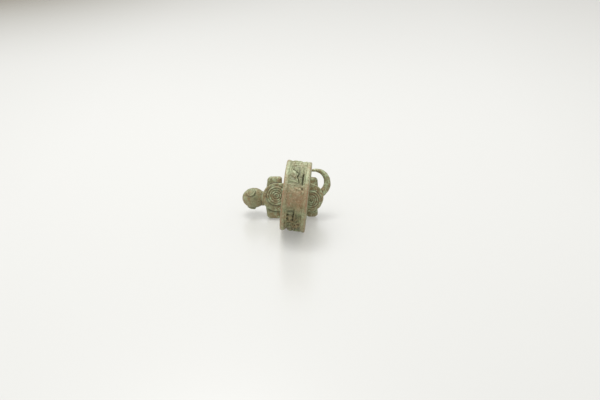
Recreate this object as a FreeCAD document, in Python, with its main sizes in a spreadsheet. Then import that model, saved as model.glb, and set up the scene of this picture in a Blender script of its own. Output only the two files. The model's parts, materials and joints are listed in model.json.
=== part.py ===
"""A cast bronze finger ring that carries a tortoise, as a parametric FreeCAD document.

The ring has a wide hoop: a plain strap between two raised rims, with ornament in relief on the field
between them. The tortoise lies across the hoop with its belly plate seated on the strap. It has a
domed shell with scutes, four stub legs, a large head on a thick neck, and a tail that curls forward
over its left flank. Two wire coils decorate the belly plate, one each side of the hoop.

Design frame, in millimetres: the origin is on the finger bore's axis below the middle of the body,
X runs along the tortoise towards its tail, Y towards its right side and Z out through the top of its
shell. The finished pieces are then placed in the row frame: the origin at the bore's centre, with +Z
up, as the ring rests on a table on the edge of its tail-side rim and the tortoise's two right feet.
"""

import FreeCAD
import Part
import math
import os

import Sketcher
from FreeCAD import Placement, Rotation, Vector

SIZES = [
    # alias, value, what it is (lengths in mm, angles in degrees)
    ("bore_radius", 9.0, "finger bore"),
    ("strap_wall", 1.5, "plain strap of the hoop"),
    ("hoop_width", 8.3, "hoop along the finger, over both rims"),
    ("rim_width", 1.5, "each raised rim, along the finger"),
    ("rim_rise", 1.3, "rims above the strap"),
    ("rim_round", 0.45, "rounding of the rims' outer corners"),
    ("ground_rise", 0.45, "ground of the relief above the strap"),
    ("relief_rise", 0.75, "ornaments above the ground of the relief"),
    ("hoop_skew", 5.8, "hoop's axis turned from the tortoise's, about Z"),
    ("hoop_offset", 1.4, "middle of the hoop from the middle of the body, towards the tail"),
    ("seat_bite", 0.15, "depth of the flat seat filed on the strap"),
    ("body_half_length", 10.6, "body with its edge wire"),
    ("body_half_width", 4.9, "body with its edge wire"),
    ("edge_wire", 0.6, "wire round the belly plate"),
    ("plate_thickness", 1.0, "belly plate"),
    ("dome_rise", 4.6, "shell above the belly plate"),
    ("scute_rise", 0.4, "scutes above the shell"),
    ("scute_gap", 0.35, "furrow between scutes"),
    ("coil_radius", 3.3, "belly coil, overall"),
    ("coil_wire", 0.34, "radius of the coil's wire"),
    ("head_coil_inset", 4.9, "head-side coil's centre from the body's head end"),
    ("tail_coil_inset", 4.3, "tail-side coil's centre from the body's tail end"),
    ("head_coil_shift", -0.4, "head-side coil towards the right side"),
    ("tail_coil_shift", 0.95, "tail-side coil towards the right side"),
    ("neck_radius", 2.55, "neck"),
    ("neck_length", 0.2, "neck that shows between body and head"),
    ("head_half_length", 4.1, "head"),
    ("head_half_width", 3.5, "head"),
    ("neck_shift", 0.45, "neck's axis towards the right side"),
    ("head_lift", 0.3, "head above the neck's axis"),
    ("head_roll", 40.0, "head turned about the neck, its left side towards the belly"),
    ("eye_radius", 1.05, "eyeball"),
    ("lid_wire", 0.3, "radius of the eyelid's wire"),
    ("leg_reach", 7.3, "soles from the middle of the body"),
    ("hind_leg_lift", 1.4, "hind legs above the fore legs, towards the shell"),
    ("leg_depth", 2.4, "legs from belly side to shell side"),
    ("leg_round", 1.1, "rounding of the feet"),
    ("fore_leg_length", 5.6, "fore legs along the body"),
    ("hind_leg_length", 4.2, "hind legs along the body"),
    ("leg_inset", 1.2, "outer side of a fore leg from the body's end"),
    ("hind_leg_inset", 1.8, "outer side of a hind leg from the body's end"),
    ("tail_root_radius", 1.4, "tail where it leaves the shell"),
    ("tail_tip_radius", 0.35, "tail at its tip"),
    ("tail_curl", 4.3, "radius of the tail's curl"),
]

TAIL_START = -80.0  # degrees round the curl, from the X axis towards the left flank
TAIL_END = 115.0
TAIL_SECTIONS = 8
CURL_FROM_END = 3.1  # centre of the tail's curl, inside the body's rear end
CURL_FROM_SIDE = -0.4  # and outside the body's left side
COIL_TURNS = 4
EYE_DROP = 20.0  # degrees that the eyes look towards the belly side, before the head is rolled
EYE_FORWARD = 0.25  # share of sideways
TOOL_LENGTH = 60.0  # longer than any piece
LEAVES = 5

doc = FreeCAD.newDocument("tortoise_ring")
sheet = doc.addObject("Spreadsheet::Sheet", "sizes")
nodes = []


def fill_sheet():
    """Writes each driving dimension in a cell of its own, with an alias."""
    for row, (alias, size, meaning) in enumerate(SIZES, start=1):
        sheet.set(f"A{row}", meaning)
        sheet.set(f"B{row}", str(size))
        sheet.setAlias(f"B{row}", alias)
    doc.recompute()


def size(alias):
    """A driving dimension as a number."""
    return float(getattr(sheet, alias))


def bind(thing, **expressions):
    """Binds properties to expressions of the sheet's aliases: an underscore pair stands for a dot."""
    for name, expression in expressions.items():
        thing.setExpression(name.replace("__", "."), expression)
    return thing


def primitive(kind, name, place=None, **expressions):
    """A Part primitive whose sizes are bound to the sheet."""
    thing = doc.addObject(f"Part::{kind}", name)
    if place is not None:
        thing.Placement = place
    return bind(thing, **expressions)


def cut(name, base, tool):
    """base with tool taken away."""
    thing = doc.addObject("Part::Cut", name)
    thing.Base = base
    thing.Tool = tool
    return thing


def group(name, things):
    """Several separate solids as one object."""
    thing = doc.addObject("Part::Compound", name)
    thing.Links = things
    return thing


def fuse(name, things):
    """Several solids made into one."""
    thing = doc.addObject("Part::MultiFuse", name)
    thing.Shapes = things
    return thing


def node(thing, label):
    """Marks a finished sub-part: its label names its file."""
    thing.Label = label
    nodes.append(thing)
    return thing


# Heights and places that follow from the driving dimensions, in the design frame.


def seat_height():
    """The belly plate's underside."""
    return size("bore_radius") + size("strap_wall") - size("seat_bite")


def base_height():
    """The belly plate's upper side, where the shell stands."""
    return seat_height() + size("plate_thickness")


def neck_height():
    """The neck's axis: the neck clears the plane of the belly plate's underside."""
    clearance = 0.05
    return seat_height() + size("neck_radius") + clearance


def neck_front():
    """Where the neck's front face meets the head."""
    return -size("body_half_length") - size("neck_length")


def head_centre():
    """The head's middle: its back is cut off where it is as wide as the neck."""
    share = math.sqrt(1 - (size("neck_radius") / size("head_half_width")) ** 2)
    back = size("head_half_length") * share
    height = neck_height() + size("head_lift")
    return Vector(neck_front() - back, size("neck_shift") / 2, height)


def rim_radius():
    """Outside of the raised rims."""
    return size("bore_radius") + size("strap_wall") + size("rim_rise")


def leg_top():
    """Shell side of the fore legs: they start just above the belly plate's middle plane."""
    lift = 0.15
    return seat_height() + size("plate_thickness") / 2 + lift + size("leg_depth")


def hoop_turn():
    """From a hoop built about X to the skewed hoop."""
    middle = Vector(size("hoop_offset"), 0, 0)
    return Placement(middle, Rotation(Vector(0, 0, 1), size("hoop_skew")))


def rest_dip():
    """Degrees that the shell's top points below the horizon when the ring rests on a table.

    The right soles and the edge of the tail-side rim are then equally low. Each is a rounded
    corner, so its lowest point is its centre's depth and its radius.
    """
    skew = math.radians(size("hoop_skew"))
    foot_round, rim_round = size("leg_round"), size("rim_round")

    def foot_lower_than_rim(dip):
        foot = (
            (size("leg_reach") - foot_round) * math.cos(dip)
            + (leg_top() - foot_round) * math.sin(dip)
            + foot_round
        )
        lean = math.sin(skew) * math.cos(dip)
        rim = (
            (rim_radius() - rim_round) * math.sqrt(1 - lean**2)
            + (size("hoop_width") / 2 - rim_round) * abs(lean)
            + rim_round
        )
        return foot - rim

    low, high = 0.0, math.radians(80)
    for _ in range(50):
        middle = (low + high) / 2
        if foot_lower_than_rim(middle) > 0:
            high = middle
        else:
            low = middle
    return math.degrees(middle)


# Sketches.


def origin_feature(body, role):
    """One of a body's own origin planes or axes."""
    return next(f for f in body.Origin.OriginFeatures if f.Role == role)


def rectangle(body, plane, name, across, up, **offsets):
    """A centred rectangle on an origin plane of its body, moved by the bound offsets."""
    sketch = body.newObject("Sketcher::SketchObject", name)
    sketch.AttachmentSupport = (origin_feature(body, plane), [""])
    sketch.MapMode = "FlatFace"
    corners = [Vector(-1, -1, 0), Vector(1, -1, 0), Vector(1, 1, 0), Vector(-1, 1, 0)]
    for start, end in zip(corners, corners[1:] + corners[:1]):
        sketch.addGeometry(Part.LineSegment(start, end))
    for side in range(4):
        sketch.addConstraint(Sketcher.Constraint("Coincident", side, 2, (side + 1) % 4, 1))
        level = "Horizontal" if side % 2 == 0 else "Vertical"
        sketch.addConstraint(Sketcher.Constraint(level, side))
    sketch.addConstraint(Sketcher.Constraint("Symmetric", 0, 1, 2, 1, -1, 1))
    wide = sketch.addConstraint(Sketcher.Constraint("DistanceX", 0, 1, 0, 2, 2))
    high = sketch.addConstraint(Sketcher.Constraint("DistanceY", 1, 1, 1, 2, 2))
    sketch.renameConstraint(wide, "across")
    sketch.renameConstraint(high, "up")
    bind(sketch, Constraints__across=across, Constraints__up=up)
    bind(sketch, **{f"AttachmentOffset__Base__{axis}": way for axis, way in offsets.items()})
    return sketch


def slot(body, name, half_length, half_width, height):
    """A centred slot with round ends on the body's XY plane, at a bound height."""
    sketch = body.newObject("Sketcher::SketchObject", name)
    sketch.AttachmentSupport = (origin_feature(body, "XY_Plane"), [""])
    sketch.MapMode = "FlatFace"
    quarter = math.pi / 2
    left_end = Part.Circle(Vector(-5, 0, 0), Vector(0, 0, 1), 5)
    right_end = Part.Circle(Vector(5, 0, 0), Vector(0, 0, 1), 5)
    sketch.addGeometry(Part.LineSegment(Vector(-5, -5, 0), Vector(5, -5, 0)))
    sketch.addGeometry(Part.ArcOfCircle(right_end, -quarter, quarter))
    sketch.addGeometry(Part.LineSegment(Vector(5, 5, 0), Vector(-5, 5, 0)))
    sketch.addGeometry(Part.ArcOfCircle(left_end, quarter, 3 * quarter))
    for side in range(4):
        sketch.addConstraint(Sketcher.Constraint("Tangent", side, 2, (side + 1) % 4, 1))
    sketch.addConstraint(Sketcher.Constraint("Horizontal", 0))
    sketch.addConstraint(Sketcher.Constraint("Equal", 1, 3))
    sketch.addConstraint(Sketcher.Constraint("Symmetric", 1, 3, 3, 3, -1, 1))
    span = sketch.addConstraint(Sketcher.Constraint("DistanceX", 3, 3, 1, 3, 10))
    end = sketch.addConstraint(Sketcher.Constraint("Radius", 1, 5))
    sketch.renameConstraint(span, "span")
    sketch.renameConstraint(end, "end_radius")
    bind(sketch, Constraints__span=f"2 * (({half_length}) - ({half_width}))")
    bind(sketch, Constraints__end_radius=half_width)
    bind(sketch, AttachmentOffset__Base__z=height)
    return sketch


def pad(body, name, sketch, length, reverse=False):
    """Material from a sketch."""
    thing = body.newObject("PartDesign::Pad", name)
    thing.Profile = sketch
    thing.Reversed = reverse
    bind(thing, Length=length)
    return thing


def turned(name, across, up, middle, radius):
    """A ring turned about the body's X axis from a rectangle with the given middle."""
    body = doc.addObject("PartDesign::Body", name)
    sketch = rectangle(body, "XZ_Plane", f"{name}_profile", across, up, x=middle, y=radius)
    ring = body.newObject("PartDesign::Revolution", f"{name}_turned")
    ring.Profile = sketch
    ring.ReferenceAxis = (origin_feature(body, "X_Axis"), [""])
    ring.Angle = 360
    doc.recompute()
    return body, ring


def fillet(body, name, base, edges, radius):
    """Rounds edges of the body's last feature."""
    thing = body.newObject("PartDesign::Fillet", name)
    thing.Base = (base, edges)
    bind(thing, Radius=radius)
    return thing


SEAT = "sizes.bore_radius + sizes.strap_wall - sizes.seat_bite"
STRAP_RADIUS = "sizes.bore_radius + sizes.strap_wall"
INSIDE_WIRE = (
    "sizes.body_half_length - sizes.edge_wire",
    "sizes.body_half_width - sizes.edge_wire",
)


def body_slab(name, thickness):
    """The body's outline, extruded from the belly plate's underside."""
    body = doc.addObject("PartDesign::Body", name)
    outline = slot(
        body, f"{name}_outline", "sizes.body_half_length", "sizes.body_half_width", SEAT
    )
    pad(body, f"{name}_pad", outline, thickness)
    return body


def body_form():
    """The body filled solid, as the tool that shapes whatever meets it."""
    plate = body_slab("plate_form", "sizes.plate_thickness")
    return fuse("body_form", [plate, dome_primitive("dome_form", "0")])


def dome_primitive(name, grow):
    """The shell's upper half ellipsoid, standing on the belly plate inside the edge wire."""
    thing = primitive(
        "Ellipsoid",
        name,
        Radius1=f"sizes.dome_rise + {grow}",
        Radius2=f"sizes.body_half_length - sizes.edge_wire + {grow}",
        Radius3=f"sizes.body_half_width - sizes.edge_wire + {grow}",
        Placement__Base__z=f"{SEAT} + sizes.plate_thickness",
    )
    thing.Angle1 = 0
    return thing


# Hoop.


def hoop_strap(seat):
    """The plain strap, bored for the finger, with the seat for the belly plate."""
    body, _ = turned(
        "strap_blank",
        "sizes.hoop_width",
        "sizes.strap_wall",
        "0",
        "sizes.bore_radius + sizes.strap_wall / 2",
    )
    body.Placement = hoop_turn()
    node(cut("strap_cut", body, seat), "hoop_strap")


def hoop_rim(label, side, seat):
    """A raised rim on one edge of the strap, its two outer corners rounded."""
    body, ring = turned(
        f"{label}_blank",
        "sizes.rim_width",
        "sizes.rim_rise",
        f"{side} * (sizes.hoop_width - sizes.rim_width) / 2",
        f"{STRAP_RADIUS} + sizes.rim_rise / 2",
    )
    outer = [
        f"Edge{number}"
        for number, edge in enumerate(ring.Shape.Edges, start=1)
        if edge.Curve.TypeId == "Part::GeomCircle" and abs(edge.Curve.Radius - rim_radius()) < 1e-6
    ]
    fillet(body, f"{label}_round", ring, outer, "sizes.rim_round")
    body.Placement = hoop_turn()
    node(cut(f"{label}_cut", body, seat), label)


def relief_ground(seat):
    """The sunk field between the rims, which carries the ornament."""
    body, _ = turned(
        "ground_blank",
        "sizes.hoop_width - 2 * sizes.rim_width",
        "sizes.ground_rise",
        "0",
        f"{STRAP_RADIUS} + sizes.ground_rise / 2",
    )
    body.Placement = hoop_turn()
    node(cut("ground_cut", body, seat), "relief_ground")


def on_hoop(angle, across, radius):
    """A place on the hoop whose Z points outwards and X along the finger.

    The angle is from the palm side, opposite the tortoise, towards the tortoise's left side.
    """
    out = Vector(0, -math.sin(math.radians(angle)), -math.cos(math.radians(angle)))
    along = Vector(1, 0, 0)
    turn = Rotation(along, out.cross(along), out, "ZXY")
    return hoop_turn() * Placement(out * radius + along * across, turn)


def relief_spot(name, angle, across, half_across, half_along, slant=0.0):
    """A low oval ornament, half sunk in the ground of the relief."""
    radius = size("bore_radius") + size("strap_wall") + size("ground_rise")
    place = on_hoop(angle, across, radius) * Placement(
        Vector(), Rotation(Vector(0, 0, 1), slant)
    )
    spot = primitive("Ellipsoid", name, place, Radius1="sizes.relief_rise")
    spot.Radius2 = half_across
    spot.Radius3 = half_along
    return spot


def relief(label, spots):
    """Ornaments cut off at the ground of the relief."""
    ground = primitive(
        "Cylinder",
        f"{label}_ground",
        hoop_turn() * Placement(Vector(-TOOL_LENGTH / 2, 0, 0), Rotation(Vector(0, 1, 0), 90)),
        Radius=f"{STRAP_RADIUS} + sizes.ground_rise",
    )
    ground.Height = TOOL_LENGTH
    made = fuse(f"{label}_spots", spots) if len(spots) > 1 else spots[0]
    node(cut(f"{label}_cut", made, ground), label)


def reliefs():
    """The ornaments that stand out: a medallion, a ridge, a crescent and a spray of leaves."""
    field = size("hoop_width") / 2 - size("rim_width")
    relief("relief_medallion", [relief_spot("medallion", 40, -0.38 * field, 1.6, 2.8)])
    relief("relief_ridge", [relief_spot("ridge", 42, 0.5 * field, 0.5, 2.2)])
    relief("relief_crescent", [relief_spot("crescent", 3, 0.3 * field, 1.5, 1.1, slant=-12)])
    leaves = []
    for number in range(LEAVES):
        from_middle = number - LEAVES // 2
        angle = -43 - 3 * abs(from_middle)
        across = 0.28 * field * from_middle
        name = f"leaf_{number + 1}"
        leaves.append(relief_spot(name, angle, across, 0.62, 2.3, slant=-6 * from_middle))
    relief("relief_leaves", leaves)


# Body of the tortoise.


def belly_plate():
    """The flat plate that closes the shell and seats on the hoop."""
    body = doc.addObject("PartDesign::Body", "plate_body")
    sketch = slot(body, "plate_outline", *INSIDE_WIRE, SEAT)
    pad(body, "plate_pad", sketch, "sizes.plate_thickness")
    node(body, "belly_plate")


def edge_wire():
    """The wire soldered round the belly plate, its outer corners rounded."""
    body = body_slab("wire_body", "sizes.plate_thickness")
    doc.recompute()
    flat = [
        f"Edge{number}"
        for number, edge in enumerate(body.Tip.Shape.Edges, start=1)
        if abs(edge.Vertexes[0].Z - edge.Vertexes[-1].Z) < 1e-6
    ]
    rounding = "0.8 * min(sizes.edge_wire; sizes.plate_thickness / 2)"
    fillet(body, "wire_round", body.Tip, flat, rounding)
    doc.recompute()
    hole = body.newObject("PartDesign::Pocket", "wire_hole")
    hole.Profile = slot(body, "wire_inside", *INSIDE_WIRE, SEAT)
    hole.Type = "ThroughAll"
    hole.Reversed = True
    node(body, "belly_edge_wire")


def belly_coil(label, side, inset, shift):
    """Concentric wire rings round a bead, half sunk in the belly plate's underside."""
    step = (size("coil_radius") - size("coil_wire")) / COIL_TURNS
    along = side * (size("body_half_length") - size(inset))
    centre = Vector(along, size(shift), seat_height())
    rings = []
    for turn in range(1, COIL_TURNS + 1):
        ring = primitive(
            "Torus", f"{label}_ring_{turn}", Placement(centre, Rotation()), Radius2="sizes.coil_wire"
        )
        ring.Radius1 = step * turn
        rings.append(ring)
    bead = primitive("Sphere", f"{label}_bead", Placement(centre, Rotation()), Radius="sizes.coil_wire")
    rings.append(bead)
    above = primitive("Box", f"{label}_above", Placement__Base__z=SEAT)
    above.Length = TOOL_LENGTH
    above.Width = TOOL_LENGTH
    above.Height = TOOL_LENGTH
    above.Placement.Base.x = -TOOL_LENGTH / 2
    above.Placement.Base.y = -TOOL_LENGTH / 2
    hoop = primitive(
        "Cylinder",
        f"{label}_hoop",
        Radius=f"{STRAP_RADIUS} + sizes.rim_rise",
        Height="sizes.hoop_width",
    )
    half = Vector(-size("hoop_width") / 2, 0, 0)
    hoop.Placement = hoop_turn() * Placement(half, Rotation(Vector(0, 1, 0), 90))
    tool = fuse(f"{label}_tool", [above, hoop])
    node(cut(f"{label}_cut", group(f"{label}_rings", rings), tool), label)


def carapace():
    """The domed shell, cast solid."""
    node(group("carapace_casting", [dome_primitive("dome", "0")]), "carapace")


def scutes(limbs):
    """Horny plates on the dome, notched round the limbs: a row on the spine and one each side."""
    outside = dome_primitive("scute_outside", "sizes.scute_rise")
    layer = cut("scute_layer", outside, dome_primitive("scute_inside", "0"))
    half = size("body_half_length") - size("edge_wire")
    pitch = half / 3.1
    rows = [(0, 5), (1, 4), (-1, 4)]  # side of the spine, scutes in the row
    side_step = (size("body_half_width") - size("edge_wire")) * 0.52
    plates = []
    for way, count in rows:
        for number in range(count):
            name = f"scute_{len(plates) + 1}"
            prism = primitive("Prism", f"{name}_prism")
            prism.Polygon = 6
            prism.Circumradius = (pitch - size("scute_gap")) / math.sqrt(3)
            prism.Height = TOOL_LENGTH
            along = (number - (count - 1) / 2) * pitch
            corner = Vector(along, way * side_step, base_height())
            prism.Placement = Placement(corner, Rotation(Vector(0, 0, 1), 30))
            plate = doc.addObject("Part::Common", name)
            plate.Base = layer
            plate.Tool = prism
            plates.append(plate)
    node(cut("scutes_cut", group("scute_plates", plates), fuse("limbs", limbs)), "scutes")


# Head, legs and tail.


def neck(form):
    """A thick round neck from the shell's front to the head."""
    bar = primitive("Cylinder", "neck_bar", Radius="sizes.neck_radius")
    bar.Height = -neck_front() - size("body_half_length") / 2
    front = Vector(neck_front(), size("neck_shift"), neck_height())
    bar.Placement = Placement(front, Rotation(Vector(0, 1, 0), 90))
    node(cut("neck_cut", bar, form), "neck")
    return bar


def head_form(name):
    """The egg-shaped head before its back is cut off: half an ellipse turned about its long axis."""
    body = doc.addObject("PartDesign::Body", name)
    sketch = body.newObject("Sketcher::SketchObject", f"{name}_outline")
    sketch.AttachmentSupport = (origin_feature(body, "XY_Plane"), [""])
    sketch.MapMode = "FlatFace"
    whole = Part.Ellipse(Vector(5, 0, 0), Vector(0, 4, 0), Vector())
    sketch.addGeometry(Part.ArcOfEllipse(whole, 0, math.pi))
    sketch.addGeometry(Part.LineSegment(Vector(-5, 0, 0), Vector(5, 0, 0)))
    sketch.exposeInternalGeometry(0)
    sketch.addConstraint(Sketcher.Constraint("Coincident", 0, 3, -1, 1))
    sketch.addConstraint(Sketcher.Constraint("Coincident", 0, 2, 1, 1))
    sketch.addConstraint(Sketcher.Constraint("Coincident", 0, 1, 1, 2))
    sketch.addConstraint(Sketcher.Constraint("PointOnObject", 1, 1, -1))
    sketch.addConstraint(Sketcher.Constraint("PointOnObject", 1, 2, -1))
    for alias, line, span in (("long_way", 2, 10), ("short_way", 3, 8)):
        number = sketch.addConstraint(Sketcher.Constraint("Distance", line, span))
        sketch.renameConstraint(number, alias)
    bind(sketch, Constraints__long_way="2 * sizes.head_half_length")
    bind(sketch, Constraints__short_way="2 * sizes.head_half_width")
    egg = body.newObject("PartDesign::Revolution", f"{name}_turned")
    egg.Profile = sketch
    egg.ReferenceAxis = (origin_feature(body, "X_Axis"), [""])
    egg.Angle = 360
    body.Placement.Base = head_centre()
    return body


def head():
    """The head, flat at the back where it meets the neck."""
    behind = primitive("Box", "behind_head")
    behind.Length = TOOL_LENGTH
    behind.Width = TOOL_LENGTH
    behind.Height = TOOL_LENGTH
    behind.Placement.Base = Vector(neck_front(), -TOOL_LENGTH / 2, -TOOL_LENGTH / 2)
    node(cut("head_cut", head_form("head_egg"), behind), "head")


def eye_place(side):
    """A place on the head's surface with its Z straight out of one eye."""
    drop = math.radians(EYE_DROP - side * size("head_roll"))
    out = Vector(-EYE_FORWARD, side * math.cos(drop), -math.sin(drop)).normalize()
    sideways = math.hypot(out.y, out.z) / size("head_half_width")
    reach = 1 / math.hypot(out.x / size("head_half_length"), sideways)
    return Placement(head_centre() + out * reach, Rotation(Vector(0, 0, 1), out))


def eye(hand, side):
    """An eyeball and the wire of its lid, both seated on the head."""
    name = f"eye_{hand}"
    ball = primitive(
        "Ellipsoid",
        f"{name}_ball",
        eye_place(side),
        Radius1="0.6 * sizes.eye_radius",
        Radius2="sizes.eye_radius",
        Radius3="sizes.eye_radius",
    )
    node(cut(f"{name}_cut", ball, head_form(f"{name}_socket")), name)
    lid = primitive(
        "Torus",
        f"{name}_lid",
        eye_place(side),
        Radius1="sizes.eye_radius + 0.7 * sizes.lid_wire",
        Radius2="sizes.lid_wire",
    )
    behind = fuse(f"{name}_lid_seat", [head_form(f"{name}_lid_head"), ball])
    node(cut(f"{name}_lid_cut", lid, behind), f"eyelid_{hand}")


def leg(label, length, side, middle, reach, lift, form):
    """A stub leg, rounded at the foot and shaped to the body at its root."""
    body = doc.addObject("PartDesign::Body", f"{label}_blank")
    root = 0.25 * size("body_half_width")
    sketch = rectangle(
        body,
        "XZ_Plane",
        f"{label}_section",
        length,
        "sizes.leg_depth",
        x=middle,
        y=f"{leg_top()} - sizes.leg_depth / 2 + {lift}",
        z=f"{-side * root}",
    )
    stub = pad(body, f"{label}_pad", sketch, f"{reach} - {root}", reverse=side > 0)
    doc.recompute()
    foot = stub.Shape.BoundBox.YMax if side > 0 else stub.Shape.BoundBox.YMin
    ends = [
        f"Edge{number}"
        for number, edge in enumerate(stub.Shape.Edges, start=1)
        if abs(edge.CenterOfMass.y - foot) < 1e-4 or abs(edge.tangentAt(edge.FirstParameter).y) > 0.99
    ]
    fillet(body, f"{label}_round", stub, ends, "min(sizes.leg_round; sizes.leg_depth * 0.49)")
    node(cut(f"{label}_cut", body, form), label)
    return body


def legs(form):
    """Two fore legs and two hind legs: the hind right one is shorter, so that it meets the table."""
    fore = "-sizes.body_half_length + sizes.leg_inset + sizes.fore_leg_length / 2"
    hind = "sizes.body_half_length - sizes.hind_leg_inset - sizes.hind_leg_length / 2"
    full = "sizes.leg_reach"
    short = f"sizes.leg_reach - sizes.hind_leg_lift * {math.tan(math.radians(rest_dip()))}"
    lift = "sizes.hind_leg_lift"
    return [
        leg("fore_leg_left", "sizes.fore_leg_length", -1, fore, full, "0", form),
        leg("fore_leg_right", "sizes.fore_leg_length", 1, fore, full, "0", form),
        leg("hind_leg_left", "sizes.hind_leg_length", -1, hind, full, lift, form),
        leg("hind_leg_right", "sizes.hind_leg_length", 1, hind, short, lift, form),
    ]


def tail(form):
    """A tapering tail that curls forward over the left flank."""
    centre = Vector(
        size("body_half_length") - CURL_FROM_END,
        -size("body_half_width") + CURL_FROM_SIDE,
        base_height() + 0.8 * size("tail_root_radius"),
    )
    sections = []
    for number in range(TAIL_SECTIONS):
        share = number / (TAIL_SECTIONS - 1)
        round_curl = math.radians(TAIL_START + share * (TAIL_END - TAIL_START))
        out = Vector(math.cos(round_curl), -math.sin(round_curl), 0)
        along = Vector(-math.sin(round_curl), -math.cos(round_curl), 0)
        taper = f"{share**2} * (sizes.tail_root_radius - sizes.tail_tip_radius)"
        section = primitive(
            "Circle",
            f"tail_section_{number}",
            Placement(
                centre + out * size("tail_curl"), Rotation(out, along.cross(out), along, "ZXY")
            ),
            Radius=f"sizes.tail_root_radius - {taper}",
        )
        sections.append(section)
    horn = doc.addObject("Part::Loft", "tail_horn")
    horn.Sections = sections
    horn.Solid = True
    node(cut("tail_cut", horn, form), "tail")


def place_and_write():
    """Turns every sub-part into the row frame, checks it and writes its STEP file."""
    middle = Vector(-size("hoop_offset"), 0, 0)
    pose = Placement(middle, Rotation(Vector(1, 0, 0), -90 - rest_dip()))
    for thing in nodes:
        thing.Placement = pose
    doc.recompute()
    broken = [o.Name for o in doc.Objects if "Invalid" in o.State or "Error" in o.State]
    if broken:
        raise RuntimeError(f"failed objects: {broken}")
    os.makedirs("parts", exist_ok=True)
    for thing in nodes:
        shape = thing.Shape
        if shape.isNull() or not shape.isValid() or not shape.Solids:
            raise RuntimeError(f"{thing.Label} has no valid solid")
        shape.exportStep(os.path.join("parts", f"{thing.Label}.step"))
        print(f"{thing.Label}: {len(shape.Solids)} solid(s), {shape.Volume:.1f} mm3")


def build():
    """Builds the whole ring."""
    fill_sheet()
    form = body_form()
    seat = body_slab("seat_tool", f"{TOOL_LENGTH}")
    hoop_strap(seat)
    hoop_rim("rim_head_side", -1, seat)
    hoop_rim("rim_tail_side", 1, seat)
    relief_ground(seat)
    reliefs()
    belly_plate()
    edge_wire()
    belly_coil("belly_coil_head_side", -1, "head_coil_inset", "head_coil_shift")
    belly_coil("belly_coil_tail_side", 1, "tail_coil_inset", "tail_coil_shift")
    carapace()
    bar = neck(form)
    head()
    eye("left", -1)
    eye("right", 1)
    blanks = legs(fuse("leg_seat", [form, bar]))
    scutes([bar] + blanks)
    tail(fuse("tail_seat", [form, blanks[2]]))
    place_and_write()
    print(f"rest dip {rest_dip():.3f} degrees")


build()
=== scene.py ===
"""Looks of the tortoise ring: worn, patinated cast bronze on a glossy white table."""

import json
import math

import bpy
import numpy as np
from mathutils import Matrix, Vector, noise
from mathutils.kdtree import KDTree


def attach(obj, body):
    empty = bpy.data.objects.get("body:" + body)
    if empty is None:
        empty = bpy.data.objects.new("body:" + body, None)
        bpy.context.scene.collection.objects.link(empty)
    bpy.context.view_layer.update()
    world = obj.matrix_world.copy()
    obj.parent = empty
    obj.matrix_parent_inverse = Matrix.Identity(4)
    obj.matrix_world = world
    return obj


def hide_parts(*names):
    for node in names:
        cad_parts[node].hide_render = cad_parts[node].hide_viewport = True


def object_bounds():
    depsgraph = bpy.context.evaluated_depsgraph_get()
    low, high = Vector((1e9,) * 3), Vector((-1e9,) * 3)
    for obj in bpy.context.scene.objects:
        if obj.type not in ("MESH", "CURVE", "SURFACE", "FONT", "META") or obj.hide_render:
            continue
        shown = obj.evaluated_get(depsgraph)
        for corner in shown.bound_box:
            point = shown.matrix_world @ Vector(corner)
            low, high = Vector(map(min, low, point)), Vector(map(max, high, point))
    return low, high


MM = 0.001

# Sizes in millimetres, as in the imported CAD.
BORE = 9.0  # radii of the finger bore, the strap, the rims and the ground of the relief
STRAP = 10.5
RIM = 11.8
GROUND = 10.95
HALF_WIDTH = 4.15  # half the hoop's width, over the rims
FIELD = 2.65  # half the width between the rims
SEAT = 10.35  # height of the flat seat above the bore's axis
HOOP_OFFSET = 1.4  # middle of the hoop from the middle of the body
BODY_HALF = (10.6, 4.9)  # half length and half width of the body
FOOT_REACH = 2.4  # how far the legs stand out from the body's side
FOOT_TAPER = 0.13  # share of its length that a leg loses towards the foot
VOXEL = 0.11
SMOOTH_PASSES = 5
LEVEL_PASSES = 24  # smoothing that gives the level that heights are measured from

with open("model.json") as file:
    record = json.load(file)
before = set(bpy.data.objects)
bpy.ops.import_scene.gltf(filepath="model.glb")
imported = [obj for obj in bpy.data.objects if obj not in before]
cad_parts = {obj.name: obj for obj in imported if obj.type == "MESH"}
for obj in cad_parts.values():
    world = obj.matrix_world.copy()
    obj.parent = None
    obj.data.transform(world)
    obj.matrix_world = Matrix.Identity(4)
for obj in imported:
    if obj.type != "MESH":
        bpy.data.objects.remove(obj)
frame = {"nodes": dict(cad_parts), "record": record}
bore_axis = Vector(frame["record"]["mounts"][0]["axis"])
rest_dip = math.atan2(-bore_axis.y, -bore_axis.z)
TO_ROW = Matrix.Rotation(-math.pi / 2 - rest_dip, 3, "X")
SKEW = Matrix.Rotation(math.acos(bore_axis.x), 3, "Z")
cad_box = [[float(c) for c in corner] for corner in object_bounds()]


# Meshes.


def fractal(points, size, octaves, seed):
    """Smooth noise of about -1 to 1 at points in millimetres; size is that of its largest lumps."""
    shift = Vector((seed * 7.13, seed * 3.71, seed * 5.17))
    places = (Vector(place) / size + shift for place in points.tolist())
    return np.array([noise.fractal(place, 1.0, 2.0, octaves) for place in places])


def to_row(points):
    """From the tortoise's design frame, in millimetres, to the row frame."""
    return points @ np.array(TO_ROW).T


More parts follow.
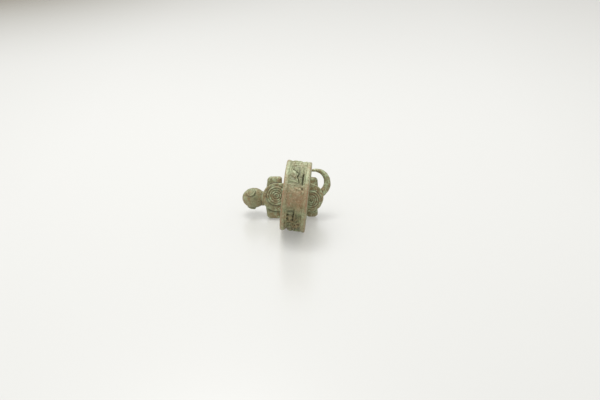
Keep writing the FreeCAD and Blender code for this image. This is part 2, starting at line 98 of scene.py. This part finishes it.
def make_object(name, points, faces, attributes, nodes, material):
    """A smooth-shaded piece of the object from points in millimetres, in the row frame."""
    mesh = bpy.data.meshes.new(name)
    mesh.from_pydata((points * MM).tolist(), [], faces)
    mesh.polygons.foreach_set("use_smooth", [True] * len(mesh.polygons))
    for key, values in attributes.items():
        layer = mesh.attributes.new(key, "FLOAT", "POINT")
        layer.data.foreach_set("value", np.asarray(values, np.float32))
    mesh.materials.append(material)
    mesh.update()
    thing = bpy.data.objects.new(name, mesh)
    bpy.context.scene.collection.objects.link(thing)
    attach(thing, "root")
    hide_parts(*nodes)
    return thing


def neighbours(count, edges):
    """The mean of each point's neighbours, as a function of the points' values."""
    first, second = edges[:, 0], edges[:, 1]
    degree = np.bincount(edges.ravel(), minlength=count).astype(float)

    def mean(values):
        total = np.zeros_like(values)
        for column in range(values.shape[1]):
            total[:, column] += np.bincount(first, values[second, column], count)
            total[:, column] += np.bincount(second, values[first, column], count)
        return total / degree[:, None]

    return mean


# Relief of the hoop. Places are millimetres across the hoop, towards the tail side, and degrees
# round it from the palm side. Heights are millimetres.


def ridge(theta, across, line, width, height):
    """A rounded ridge, or with a negative height a furrow, along a line of places."""
    arc = math.radians(1) * GROUND
    x, y = across, theta * arc
    nearest = np.full(x.shape, 1e9)
    for (x0, t0), (x1, t1) in zip(line, line[1:]):
        y0, y1 = t0 * arc, t1 * arc
        length = (x1 - x0) ** 2 + (y1 - y0) ** 2
        share = np.clip(((x - x0) * (x1 - x0) + (y - y0) * (y1 - y0)) / length, 0, 1)
        reach = np.hypot(x - x0 - share * (x1 - x0), y - y0 - share * (y1 - y0))
        nearest = np.minimum(nearest, reach)
    return height * np.exp(-((nearest / width) ** 2))


def boss(theta, across, place, size, height, slant=0.0):
    """A flat-topped oval boss."""
    x = across - place[0]
    y = (theta - place[1]) * math.radians(1) * GROUND
    turn = math.radians(slant)
    along = x * math.cos(turn) + y * math.sin(turn)
    up = -x * math.sin(turn) + y * math.cos(turn)
    reach = (along / size[0]) ** 2 + (up / size[1]) ** 2
    return height * np.exp(-(reach**1.5))


RIDGES = [
    # line, width, height
    ([(-2.0, 66), (0.4, 70), (2.3, 62)], 0.30, 0.40),
    ([(-2.1, 58), (0.2, 63), (2.4, 54)], 0.24, 0.34),
    ([(-1.5, 54), (0.6, 57), (1.7, 50)], 0.20, 0.24),
    ([(-2.25, 52), (-2.35, 34)], 0.20, 0.42),
    (
        [(-1.6, 52), (-0.2, 51), (0.2, 44), (0.1, 36), (-0.9, 31), (-1.8, 34), (-2.0, 43), (-1.6, 52)],
        0.22,
        0.42,
    ),
    ([(-1.25, 52), (0.1, 45)], 0.26, 0.55),
    ([(1.05, 53), (1.35, 44), (1.4, 35)], 0.30, 0.55),
    ([(2.35, 50), (2.5, 34), (2.45, 20)], 0.26, 0.34),
    ([(-0.4, 32), (0.5, 22)], 0.26, 0.42),
    ([(0.4, 32), (1.2, 21)], 0.24, 0.40),
    ([(-2.4, 23), (-0.2, 22)], 0.26, 0.36),
    ([(-2.3, 17), (-0.4, 17)], 0.20, 0.22),
    ([(0.3, 10), (1.5, 9), (2.3, 4)], 0.30, 0.42),
    ([(-2.2, 10), (-1.2, 4), (-1.4, -6)], 0.30, 0.20),
    ([(-2.4, -22), (-2.2, -46)], 0.26, 0.36),
    ([(0.4, -20), (0.5, -33), (0.4, -48)], 0.20, 0.30),
    ([(-1.9, -26), (-0.2, -25)], 0.20, 0.26),
    ([(-1.7, -34), (-0.3, -33)], 0.22, 0.26),
    ([(1.9, -33), (2.1, -49)], 0.18, 0.40),
    ([(1.4, -34), (1.6, -52)], 0.16, 0.34),
    ([(-1.9, -50), (-0.8, -49), (0.4, -52)], 0.22, 0.50),
    ([(-1.6, -57), (-0.4, -54), (0.3, -62)], 0.20, 0.55),
    ([(-1.5, -66), (-0.3, -64), (0.5, -72)], 0.22, 0.50),
    ([(1.1, -57), (1.7, -60), (1.2, -66)], 0.24, 0.50),
    ([(-2.1, -52), (-2.0, -68)], 0.22, 0.36),
    ([(-0.9, -38), (0.1, -44)], 0.18, 0.30),
    ([(0.9, -46), (2.3, -40)], 0.18, 0.42),
    ([(0.8, -54), (2.3, -50)], 0.18, 0.46),
    ([(0.6, -62), (2.2, -60)], 0.18, 0.46),
    ([(-2.3, -58), (-1.0, -46)], 0.18, 0.46),
    ([(-0.2, -66), (0.9, -50)], 0.18, 0.50),
    ([(-0.6, -58), (1.6, -68)], 0.18, 0.46),
    ([(2.2, -24), (0.9, -12)], 0.22, 0.40),
    ([(-2.2, -12), (-0.6, -20)], 0.20, 0.34),
]

FURROWS = [
    ([(-1.3, 47), (0.35, 40), (0.25, 33)], 0.20, -0.34),
    ([(1.95, 38), (1.9, 18)], 0.20, -0.40),
    ([(0.05, 33), (0.8, 22)], 0.18, -0.30),
    ([(2.0, 11), (2.1, 9)], 0.26, -0.45),
    ([(0.5, -19), (0.1, -30), (0.0, -48)], 0.20, -0.22),
    ([(-1.8, -30), (-0.2, -29)], 0.16, -0.22),
    ([(-1.9, -54), (-0.6, -60), (0.2, -68)], 0.18, -0.40),
    ([(-1.9, -37), (-1.7, -37)], 0.26, -0.34),
    ([(-2.0, -44), (-1.8, -44)], 0.24, -0.34),
]

BOSSES = [
    # place, half sizes, height, slant
    ((-1.0, 42), (0.75, 1.3), 0.34, 0),
    ((0.9, 1), (1.35, 0.95), 0.36, -10),
    ((-1.6, 2), (0.9, 1.5), 0.22, 0),
    ((-0.9, -10), (0.8, 1.2), 0.20, 20),
    ((1.2, -14), (0.9, 0.9), 0.22, 30),
    ((1.3, -25), (1.05, 1.5), 0.40, 0),
    ((-1.0, -42), (0.6, 0.8), 0.30, 30),
]


def scroll(start, end, turn):
    """A wavy stem with curled shoots, between two places round the hoop, as ridges."""
    made = []
    stem = [
        (1.05 * math.sin(turn + 0.105 * degrees), degrees) for degrees in np.arange(start, end, 3.0)
    ]
    made.append((stem, 0.22, 0.55))
    for number, degrees in enumerate(np.arange(start + 8, end - 8, 15.0)):
        side = 1 if math.sin(turn + 0.105 * degrees) < 0 else -1
        curl = []
        for step in range(9):
            a = math.radians(200 - 42 * step)
            reach = 0.85 - 0.075 * step
            curl.append((side * (1.25 + reach * math.cos(a)), degrees + 5.2 * reach * math.sin(a)))
        made.append((curl, 0.19, 0.5))
        made.append(([(side * 2.3, degrees - 7), (side * 1.3, degrees - 5)], 0.24, 0.45))
    return made


def relief(theta, across):
    """Height of the field's surface above the ground."""
    raised = np.zeros_like(theta)
    for line, width, height in RIDGES + scroll(72, 158, 0.4) + scroll(-156, -73, 1.2):
        raised = np.maximum(raised, ridge(theta, across, line, width, height))
    for place, size, height, slant in BOSSES:
        lump = boss(theta, across, place, size, height, slant)
        raised = np.maximum(raised, 0.65 * raised + lump)
    for line, width, depth in FURROWS:
        raised = raised + ridge(theta, across, line, width, depth)
    worn = 1 - 0.45 * np.exp(-(((theta + 2) / 17) ** 2))
    full = 0.28 * np.exp(-(((theta - 76) / 17) ** 2))
    return raised * worn + full


def round_profile(corners, rounding, steps):
    """A closed loop through rectangle corners with rounded corners, evenly spaced."""
    (u0, r0), (u1, r1) = corners
    rounding = min(rounding, (u1 - u0) / 2.01, (r1 - r0) / 2.01)
    centres = [
        (u1 - rounding, r1 - rounding, 0),
        (u0 + rounding, r1 - rounding, 90),
        (u0 + rounding, r0 + rounding, 180),
        (u1 - rounding, r0 + rounding, 270),
    ]
    loop = []
    for u, r, start in centres:
        for step in range(9):
            a = math.radians(start + step * 90 / 8)
            loop.append((u + rounding * math.cos(a), r + rounding * math.sin(a)))
    loop.append(loop[0])
    loop = np.array(loop)
    walked = np.concatenate([[0], np.cumsum(np.hypot(*np.diff(loop, axis=0).T))])
    at = np.linspace(0, walked[-1], steps, endpoint=False)
    return np.stack([np.interp(at, walked, loop[:, 0]), np.interp(at, walked, loop[:, 1])], axis=1)


def hoop_points(theta, across, radius):
    """Places on the hoop as points in the design frame, kept below the tortoise's seat."""
    a = np.radians(theta)
    points = np.stack([across, -radius * np.sin(a), -radius * np.cos(a)], axis=-1)
    points = points @ np.array(SKEW).T
    straight = BODY_HALF[0] - BODY_HALF[1]
    beyond = np.maximum(np.abs(points[..., 0] + HOOP_OFFSET) - straight, 0)
    under = np.hypot(beyond, points[..., 1]) < BODY_HALF[1] + 0.02
    high = under & (points[..., 2] > SEAT - 0.02)
    points[..., 2] = np.where(high, SEAT - 0.02, points[..., 2])
    return points


def sweep_faces(rings, steps):
    """Quads between neighbouring loops of a closed sweep."""
    ring, step = np.meshgrid(np.arange(rings), np.arange(steps), indexing="ij")
    after, beside = (ring + 1) % rings, (step + 1) % steps
    corners = [
        ring * steps + step,
        ring * steps + beside,
        after * steps + beside,
        after * steps + step,
    ]
    return np.stack(corners, axis=-1).reshape(-1, 4).tolist()


def hoop_piece(name, nodes, loop, rings, shape, material):
    """A closed sweep round the hoop; shape moves its points out and says how worn they are."""
    theta = np.linspace(-180, 180, rings, endpoint=False)[:, None] + np.zeros(len(loop))
    across = np.zeros_like(theta) + loop[:, 0]
    radius = np.zeros_like(theta) + loop[:, 1]
    across, radius, height, wear = shape(theta, across, radius)
    points = hoop_points(theta, across, radius).reshape(-1, 3)
    attributes = {"height": height.ravel(), "wear": wear.ravel()}
    faces = sweep_faces(rings, len(loop))
    return make_object(name, to_row(points), faces, attributes, nodes, material)


def on_circle(theta, across, radius):
    """Places on the hoop as a list of points, for noise that joins up round it."""
    a = np.radians(theta)
    return np.stack([across, -radius * np.sin(a), -radius * np.cos(a)], axis=-1).reshape(-1, 3)


def palm(theta):
    """1 on the palm side of the hoop, where it is most worn, falling off round it."""
    return np.exp(-(((theta + 5) / 30) ** 2))


def shape_field(theta, across, radius):
    """The ornamented field between the rims, hollowed up to meet them."""
    top = radius > GROUND - 0.12
    place = on_circle(theta, across, radius)
    rough = fractal(place, 0.9, 4, 1).reshape(theta.shape)
    fine = fractal(place, 0.28, 3, 2).reshape(theta.shape)
    height = relief(theta, across)
    edge = np.exp(-np.maximum(FIELD - np.abs(across), 0) / 0.30)
    low = 1 / (1 + np.exp((theta + 20) / 4))
    lift = (1.15 + 0.35 * low) * height + 0.55 * edge + 0.09 * rough + 0.04 * fine - 0.04
    lift = np.minimum(lift, RIM - GROUND - 0.03)
    moved = np.where(top, radius + lift, radius)
    wear = 0.62 * palm(theta) + 0.6 * np.clip(height - 0.25, 0, 1) + 0.15 * rough
    shown = height + 0.4 * edge + 0.32 * palm(theta) + 0.06
    return across, moved, np.where(top, shown, 0.4), wear


def rim_shape(side):
    """Shape of a raised rim, dented, rounded, and rubbed along its crest."""

    def shape(theta, across, radius):
        place = on_circle(theta, across, radius)
        dents = fractal(place, 3.2, 3, 3 + side).reshape(theta.shape)
        fine = fractal(place, 0.5, 3, 5 + side).reshape(theta.shape)
        top = np.clip((radius - STRAP - 0.2) / (RIM - STRAP - 0.2), 0, 1)
        from_crest = (side * across - (FIELD + HALF_WIDTH) / 2 - 0.12) / (HALF_WIDTH - FIELD)
        radius = radius - top * (0.06 + 0.35 * from_crest**2 + 0.08 * np.abs(dents) + 0.03 * fine)
        across = across + side * (0.03 * dents - 0.04) * top
        line = np.exp(-(((from_crest - 0.25) / 0.13) ** 2)) * top
        wear = 0.30 + 0.35 * palm(theta) + 0.35 * dents + 0.15 * fine + 0.45 * line
        return across, radius, 0.35 + 0.65 * top, wear * (0.5 + 0.5 * top)

    return shape


def shape_strap(theta, across, radius):
    """The plain strap, with shallow dents in the bore."""
    place = on_circle(theta, across, radius)
    dents = fractal(place, 2.4, 3, 9).reshape(theta.shape)
    inside = radius < (BORE + STRAP) / 2
    radius = np.where(inside, radius + 0.02 + 0.02 * np.abs(dents), radius - 0.02)
    return across, radius, np.where(inside, 0.6, 0.4), 0.35 + 0.3 * dents


# The tortoise: the CAD pieces melted together as in one casting, roughened, then parted again.

TORTOISE = [
    "belly_plate",
    "belly_edge_wire",
    "belly_coil_head_side",
    "belly_coil_tail_side",
    "carapace",
    "scutes",
    "neck",
    "head",
    "eye_left",
    "eye_right",
    "eyelid_left",
    "eyelid_right",
    "fore_leg_left",
    "fore_leg_right",
    "hind_leg_left",
    "hind_leg_right",
    "tail",
]


def node_points(name):
    """A CAD piece's points, in millimetres, in the row frame."""
    mesh = frame["nodes"][name].data
    points = np.empty(len(mesh.vertices) * 3, np.float32)
    mesh.vertices.foreach_get("co", points)
    return points.reshape(-1, 3).astype(float) / MM


def cast_points(name):
    """The points of a CAD piece, with the legs tapered towards their feet."""
    points = node_points(name)
    if "leg" not in name:
        return points
    points = points @ np.array(TO_ROW)
    inner = points[:, 0].max() if name.startswith("fore") else points[:, 0].min()
    out = np.clip((np.abs(points[:, 1]) - BODY_HALF[1]) / FOOT_REACH, 0, 1)
    points[:, 0] = inner + (points[:, 0] - inner) * (1 - FOOT_TAPER * out)
    return to_row(points)


def melted(names, voxel):
    """One closed skin over the named nodes, in millimetres: its points, quads and edges."""
    points, faces, start = [], [], 0
    for name in names:
        own = cast_points(name)
        points.append(own)
        faces += [[start + v for v in p.vertices] for p in frame["nodes"][name].data.polygons]
        start += len(own)
    mesh = bpy.data.meshes.new("melt")
    mesh.from_pydata(np.concatenate(points).tolist(), [], faces)
    thing = bpy.data.objects.new("melt", mesh)
    bpy.context.scene.collection.objects.link(thing)
    modifier = thing.modifiers.new("skin", "REMESH")
    modifier.mode = "VOXEL"
    modifier.voxel_size = voxel
    depsgraph = bpy.context.evaluated_depsgraph_get()
    skin = bpy.data.meshes.new_from_object(thing.evaluated_get(depsgraph))
    bpy.data.objects.remove(thing)
    count = len(skin.vertices)
    places = np.empty(count * 3, np.float32)
    skin.vertices.foreach_get("co", places)
    edges = np.empty(len(skin.edges) * 2, np.int32)
    skin.edges.foreach_get("vertices", edges)
    polygons = [list(p.vertices) for p in skin.polygons]
    bpy.data.meshes.remove(skin)
    return places.reshape(-1, 3).astype(float), polygons, edges.reshape(-1, 2)


def outward(points, faces):
    """Unit normals at the points of a quad or triangle mesh."""
    corners = np.array([f if len(f) == 4 else f + [f[-1]] for f in faces])
    a, b, c, d = (points[corners[:, i]] for i in range(4))
    normal = np.cross(c - a, d - b)
    total = np.zeros_like(points)
    for i in range(4):
        for column in range(3):
            total[:, column] += np.bincount(corners[:, i], normal[:, column], len(points))
    return total / np.maximum(np.linalg.norm(total, axis=1), 1e-12)[:, None]


def build_tortoise(materials):
    """Makes the tortoise's visible pieces, one for each of its CAD pieces."""
    points, faces, edges = melted(TORTOISE, VOXEL)
    mean = neighbours(len(points), edges)
    for _ in range(SMOOTH_PASSES):
        points += 0.5 * (mean(points) - points)
    normals = outward(points, faces)
    smooth = points.copy()
    for _ in range(LEVEL_PASSES):
        smooth += 0.6 * (mean(smooth) - smooth)
    height = np.einsum("ij,ij->i", points - smooth, normals)
    lumps = fractal(points, 1.5, 3, 11)
    fine = fractal(points, 0.4, 3, 12)
    points = points + normals * (0.10 * lumps + 0.035 * fine - 0.06)[:, None]
    wear = 0.2 + 1.6 * np.clip(height, -0.2, 0.3) + 0.25 * lumps
    normals = outward(points, faces)

    tree_points = [(name, cast_points(name)) for name in TORTOISE]
    total = sum(len(own) for _, own in tree_points)
    tree = KDTree(total)
    owner, at = np.empty(total, int), 0
    for number, (_, own) in enumerate(tree_points):
        for place in own.tolist():
            tree.insert(place, at)
            owner[at] = number
            at += 1
    tree.balance()
    middles = np.array([points[f].mean(axis=0) for f in faces])
    nearest = np.array([owner[tree.find(place)[1]] for place in middles.tolist()])
    slots = {row["node"]: row["material_slot"] for row in frame["record"]["subparts"]}
    for number, name in enumerate(TORTOISE):
        own_faces = [faces[i] for i in np.flatnonzero(nearest == number)]
        used = np.unique(np.concatenate([np.array(f) for f in own_faces]))
        index = {int(v): i for i, v in enumerate(used)}
        own_faces = [[index[v] for v in f] for f in own_faces]
        attributes = {"height": 6.5 * height[used] + 0.35, "wear": wear[used]}
        slot_name = slots[name]
        piece = make_object(
            f"{name}_cast",
            points[used],
            own_faces,
            attributes,
            [name],
            materials[slot_name],
        )
        piece.data.normals_split_custom_set_from_vertices(normals[used].tolist())


# Materials.


class Tree:
    """A material's shader nodes."""

    def __init__(self, name):
        self.material = bpy.data.materials.new(name)
        self.material.use_nodes = True
        self.nodes = self.material.node_tree.nodes
        self.links = self.material.node_tree.links
        self.shader = self.nodes["Principled BSDF"]
        self.place = self.nodes.new("ShaderNodeTexCoord").outputs["Object"]

    def link(self, output, socket):
        self.links.new(output, socket)

    def noise(self, lumps_mm, detail=4.0, roughness=0.6, distortion=0.0):
        node = self.nodes.new("ShaderNodeTexNoise")
        node.inputs["Scale"].default_value = 1000 / lumps_mm
        node.inputs["Detail"].default_value = detail
        node.inputs["Roughness"].default_value = roughness
        node.inputs["Distortion"].default_value = distortion
        self.link(self.place, node.inputs["Vector"])
        return node.outputs["Fac"]

    def attribute(self, name):
        node = self.nodes.new("ShaderNodeAttribute")
        node.attribute_name = name
        return node.outputs["Fac"]

    def math(self, operation, first, second, clamp=False):
        node = self.nodes.new("ShaderNodeMath")
        node.operation = operation
        node.use_clamp = clamp
        for socket, given in zip(node.inputs, (first, second)):
            if isinstance(given, (int, float)):
                socket.default_value = given
            else:
                self.link(given, socket)
        return node.outputs[0]

    def spread(self, value, low, high, start=0.0, end=1.0):
        """value from low..high to start..end, clamped."""
        node = self.nodes.new("ShaderNodeMapRange")
        for socket, given in zip(node.inputs[1:5], (low, high, start, end)):
            socket.default_value = given
        self.link(value, node.inputs[0])
        return node.outputs[0]

    def mix(self, share, first, second):
        node = self.nodes.new("ShaderNodeMix")
        node.data_type = "RGBA"
        self.link(share, node.inputs[0])
        for socket, given in ((node.inputs[6], first), (node.inputs[7], second)):
            if isinstance(given, tuple):
                socket.default_value = (*given, 1.0)
            else:
                self.link(given, socket)
        return node.outputs[2]

    def bump(self, height, distance_mm, strength, before=None):
        node = self.nodes.new("ShaderNodeBump")
        node.inputs["Strength"].default_value = strength
        node.inputs["Distance"].default_value = distance_mm * MM
        self.link(height, node.inputs["Height"])
        if before is not None:
            self.link(before, node.inputs["Normal"])
        return node.outputs["Normal"]


DEEP = (0.045, 0.040, 0.018)
OLIVE = (0.235, 0.235, 0.120)
BROWN = (0.270, 0.200, 0.095)
COPPER = (0.340, 0.160, 0.085)
VERDIGRIS = (0.42, 0.50, 0.30)
PALE = (0.80, 0.78, 0.56)


def bronze(name, green, copper):
    """Patinated bronze: dark in hollows, olive and verdigris on flats, copper where worn; paler higher
    up and on ridge tops, partly pale patina and partly painted top light and painted highlights.
    """
    tree = Tree(name)
    large = tree.noise(4.0, 4.0, 0.6)
    apart = tree.nodes.new("ShaderNodeSeparateXYZ")
    tree.link(tree.place, apart.inputs[0])
    # Higher up there are more verdigris patches and pale specks: partly patina, partly painted top
    # light, as if lit from above.
    top_light_and_patina = tree.spread(apart.outputs[2], 0.001, 0.010, 0.0, 0.10)
    medium = tree.noise(1.3, 5.0, 0.65, 0.6)
    small = tree.noise(0.42, 5.0, 0.7)
    wear = tree.math("ADD", tree.attribute("wear"), tree.spread(medium, 0.3, 0.7, -0.25, 0.25))
    height = tree.attribute("height")
    base = tree.mix(tree.spread(large, 0.40, 0.60), OLIVE, BROWN)
    dark = tree.spread(tree.noise(0.9, 5.0, 0.7, 0.4), 0.56, 0.70, 0.0, 0.6)
    base = tree.mix(dark, base, DEEP)
    bloom_and_top_light = tree.math("ADD", medium, top_light_and_patina)
    verdigris_and_top_light = tree.math("MULTIPLY", tree.spread(bloom_and_top_light, 0.50, 0.62), green, True)
    base = tree.mix(verdigris_and_top_light, base, VERDIGRIS)
    pale_specks_and_top_light = tree.math("ADD", small, top_light_and_patina)
    pale_specks_and_top_light = tree.math("MULTIPLY", tree.spread(pale_specks_and_top_light, 0.56, 0.68), 0.8 * green, True)
    base = tree.mix(pale_specks_and_top_light, base, PALE)
    rubbed = tree.math("MULTIPLY", tree.spread(wear, 0.35, 0.95), copper, True)
    base = tree.mix(rubbed, base, COPPER)
    hollow = tree.math("MULTIPLY", tree.spread(height, 0.34, -0.02), 0.85, True)
    base = tree.mix(hollow, base, DEEP)
    # Pale verdigris on the ridge tops: partly patina, partly a painted highlight.
    crest = tree.math("MULTIPLY", tree.spread(height, 0.48, 0.80), 0.45 * green, True)
    base = tree.mix(tree.math("MULTIPLY", crest, tree.spread(small, 0.40, 0.55)), base, VERDIGRIS)
    tree.link(base, tree.shader.inputs["Base Color"])
    tree.shader.inputs["Metallic"].default_value = 0.15
    tree.link(tree.spread(small, 0.3, 0.7, 0.42, 0.62), tree.shader.inputs["Roughness"])
    normal = tree.bump(medium, 0.10, 0.5)
    normal = tree.bump(small, 0.05, 0.6, normal)
    tree.link(normal, tree.shader.inputs["Normal"])
    return tree.material


def white_table():
    """Glossy white acrylic with a painted glow, and painted shade that darkens it towards its far
    corners and most at the left one.
    """
    tree = Tree("white_table")
    apart = tree.nodes.new("ShaderNodeSeparateXYZ")
    tree.link(tree.place, apart.inputs[0])
    across, away = apart.outputs[0], apart.outputs[1]
    # Painted shade: darker towards the far edge, round a spot at the far left, and towards the sides.
    far = tree.spread(away, 0.10, 0.55)
    far = tree.math("MULTIPLY", far, far)
    left = tree.nodes.new("ShaderNodeVectorMath")
    left.operation = "DISTANCE"
    left.inputs[1].default_value = (-0.33, 0.50, 0.0)
    tree.link(tree.place, left.inputs[0])
    left = tree.spread(left.outputs["Value"], 0.10, 0.36, 1.0, 0.0)
    left = tree.math("MULTIPLY", left, left)
    side = tree.spread(tree.math("ABSOLUTE", across, 0.0), 0.10, 0.30)
    shade = tree.math("ADD", tree.math("MULTIPLY", far, 0.26), tree.math("MULTIPLY", left, 1.0))
    shade = tree.math("ADD", shade, tree.math("MULTIPLY", side, 0.15), True)
    own = tree.mix(shade, (0.50, 0.50, 0.485), (0.12, 0.10, 0.06))
    # Painted light: the table glows by itself though it is no lamp, which lightens the shadows on it;
    # the painted shade darkens the glow too.
    painted_glow = tree.mix(shade, (1.0, 0.99, 0.95), (0.25, 0.21, 0.13))
    tree.link(own, tree.shader.inputs["Base Color"])
    tree.link(painted_glow, tree.shader.inputs["Emission Color"])
    tree.shader.inputs["Emission Strength"].default_value = 0.26
    tree.shader.inputs["Roughness"].default_value = 0.27
    tree.shader.inputs["Metallic"].default_value = 0.10
    tree.shader.inputs["IOR"].default_value = 2.0
    return tree.material


materials = {
    "green_bronze": bronze("green_bronze", 0.9, 0.25),
    "brown_bronze": bronze("brown_bronze", 0.45, 0.45),
    "worn_bronze": bronze("worn_bronze", 0.55, 0.9),
}

RINGS = 900
hoop_piece(
    "hoop_field",
    ["relief_ground", "relief_medallion", "relief_ridge", "relief_crescent", "relief_leaves"],
    round_profile(((-FIELD, STRAP - 0.02), (FIELD, GROUND)), 0.05, 170),
    RINGS,
    shape_field,
    materials["worn_bronze"],
)
for side, word in ((-1, "head"), (1, "tail")):
    inner, outer = sorted((side * FIELD, side * HALF_WIDTH))
    hoop_piece(
        f"hoop_rim_{word}_side",
        [f"rim_{word}_side"],
        round_profile(((inner, STRAP - 0.75), (outer, RIM)), 0.45, 90),
        RINGS,
        rim_shape(side),
        materials["worn_bronze"],
    )
hoop_piece(
    "hoop_band",
    ["hoop_strap"],
    round_profile(((0.02 - HALF_WIDTH, BORE), (HALF_WIDTH - 0.02, STRAP)), 0.25, 90),
    480,
    shape_strap,
    materials["brown_bronze"],
)
build_tortoise(materials)

# Table, light and camera.

table = bpy.data.meshes.new("table")
span, floor = 3.0, cad_box[0][2] - 0.00002
corners = [(-span, -span), (span, -span), (span, span * 2), (-span, span * 2)]
table.from_pydata([(x, y, floor) for x, y in corners], [], [[0, 1, 2, 3]])
table.materials.append(white_table())
table_top = bpy.data.objects.new("table", table)
bpy.context.scene.collection.objects.link(table_top)

world = bpy.data.worlds.new("studio")
bpy.context.scene.world = world
world.use_nodes = True
world.node_tree.nodes["Background"].inputs["Color"].default_value = (1.0, 1.0, 0.985, 1)
world.node_tree.nodes["Background"].inputs["Strength"].default_value = 0.74


def area_light(name, place, size, power, colour=(1, 1, 1)):
    """A square soft box aimed at the ring."""
    lamp = bpy.data.lights.new(name, "AREA")
    lamp.size = size
    lamp.energy = power
    lamp.color = colour
    thing = bpy.data.objects.new(name, lamp)
    thing.location = place
    thing.rotation_mode = "QUATERNION"
    thing.rotation_quaternion = (-Vector(place)).to_track_quat("-Z", "Y")
    bpy.context.scene.collection.objects.link(thing)


area_light("soft_box", (-0.08, 0.10, 0.50), 0.36, 1.35)
area_light("top_lamp", (-0.05, 0.10, 0.30), 0.08, 0.20)

CAMERA_AZIMUTH = 1.5
CAMERA_ELEVATION = 24.2
DISTANCE = 0.277
AIM = Vector((0.0013, 0.0, -0.0014))
a, e = math.radians(CAMERA_AZIMUTH), math.radians(CAMERA_ELEVATION)
back = Vector((math.sin(a) * math.cos(e), -math.cos(a) * math.cos(e), math.sin(e)))
lens = bpy.data.cameras.new("camera")
lens.lens = 50
lens.sensor_width = 36
lens.clip_start, lens.clip_end = 0.01, 10
camera = bpy.data.objects.new("camera", lens)
camera.location = AIM + back * DISTANCE
camera.rotation_mode = "QUATERNION"
camera.rotation_quaternion = (-back).to_track_quat("-Z", "Y")
bpy.context.scene.collection.objects.link(camera)
bpy.context.scene.camera = camera

scene = bpy.context.scene
scene.view_settings.view_transform = "Standard"
scene.view_settings.look = "None"
scene.cycles.max_bounces = 6
